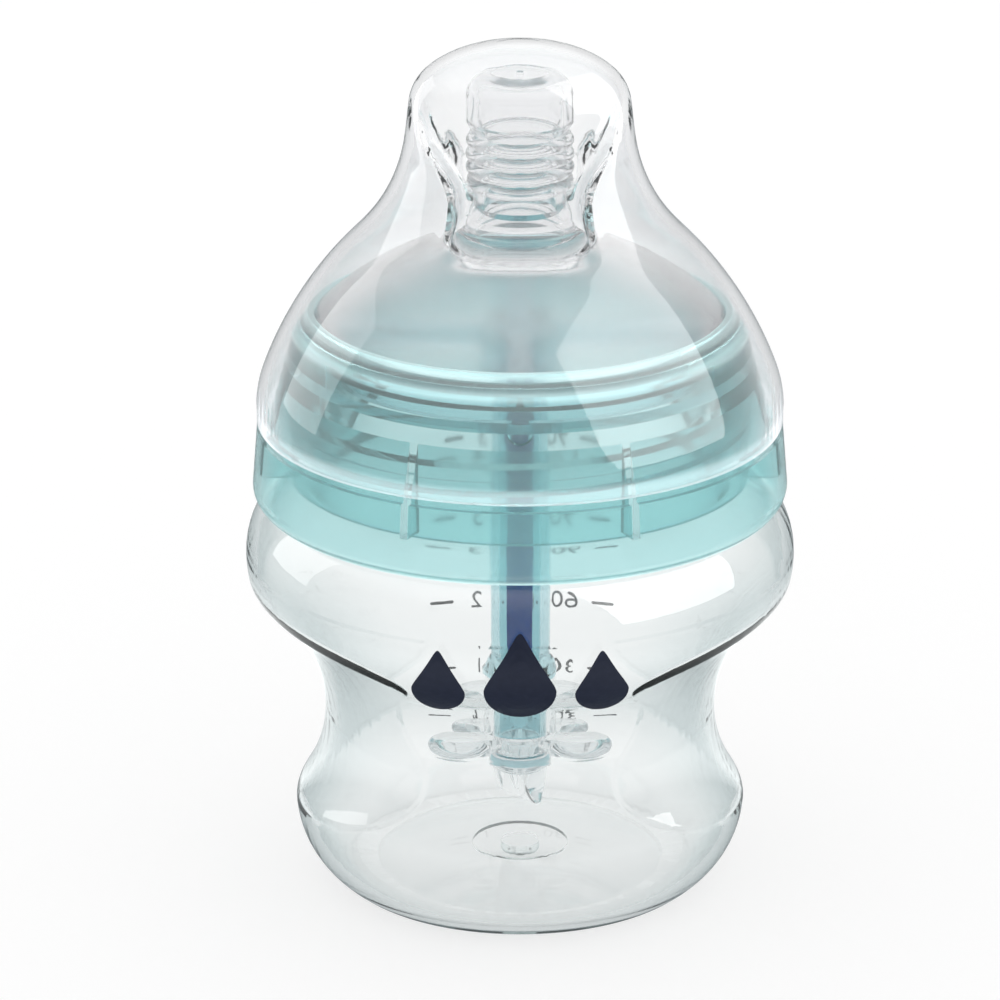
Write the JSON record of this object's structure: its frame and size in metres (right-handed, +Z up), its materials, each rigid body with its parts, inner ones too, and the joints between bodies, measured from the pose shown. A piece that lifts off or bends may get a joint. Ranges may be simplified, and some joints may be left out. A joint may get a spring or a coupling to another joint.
{
  "type": "baby bottle",
  "caption": "Clear baby bottle with side grips, a screw ring that clamps a silicone teat and a vent disc, an air tube with a one-way valve, and a domed travel cap.",
  "frame": {"origin": "middle of the foot, on the surface that the bottle stands on", "axes": "+Z up the bottle's axis, +X towards one side grip, -Y towards the front that the picture shows"},
  "size_m": [0.075, 0.075, 0.119],
  "materials": {
    "clear_plastic": "clear moulded plastic with a faint cool tint",
    "clear_cap_plastic": "clear moulded plastic",
    "tinted_plastic": "cloudy blue-green plastic",
    "tinted_tube_plastic": "see-through blue-green plastic",
    "clear_silicone": "clear soft silicone",
    "heat_strip_blue": "matt blue heat-sensitive strip"
  },
  "bodies": {
    "bottle": {"bottle_body": "clear_plastic"},
    "teat_and_disc": {"teat": "clear_silicone", "vent_disc": "tinted_tube_plastic"},
    "ring": {"screw_ring": "tinted_plastic"},
    "cap": {"travel_cap": "clear_cap_plastic"},
    "tube": {"vent_tube": "tinted_tube_plastic", "heat_strip": "heat_strip_blue"},
    "valve": {"star_valve": "clear_silicone"}
  },
  "joints": [
    {"name": "teat_lift", "type": "slide", "parent": "bottle", "child": "teat_and_disc", "axis": [0, 0, 1], "range_m": [0, 0.0075]},
    {"name": "ring_turn", "type": "hinge", "parent": "teat_and_disc", "child": "ring", "pos_m": [0, 0, 0.07], "axis": [0, 0, 1], "range_deg": [0, 540]},
    {"name": "cap_lift", "type": "slide", "parent": "ring", "child": "cap", "axis": [0, 0, 1], "range_m": [0, 0.055]},
    {"name": "tube_pull", "type": "slide", "parent": "teat_and_disc", "child": "tube", "axis": [0, 0, -1], "range_m": [0, 0.0036]},
    {"name": "valve_pull", "type": "slide", "parent": "tube", "child": "valve", "axis": [0, 0, -1], "range_m": [0, 0.0024]}
  ],
  "couplings": [
    {"joint": "teat_lift", "follows": "ring_turn", "m_per_rad": 0.00079577}
  ]
}
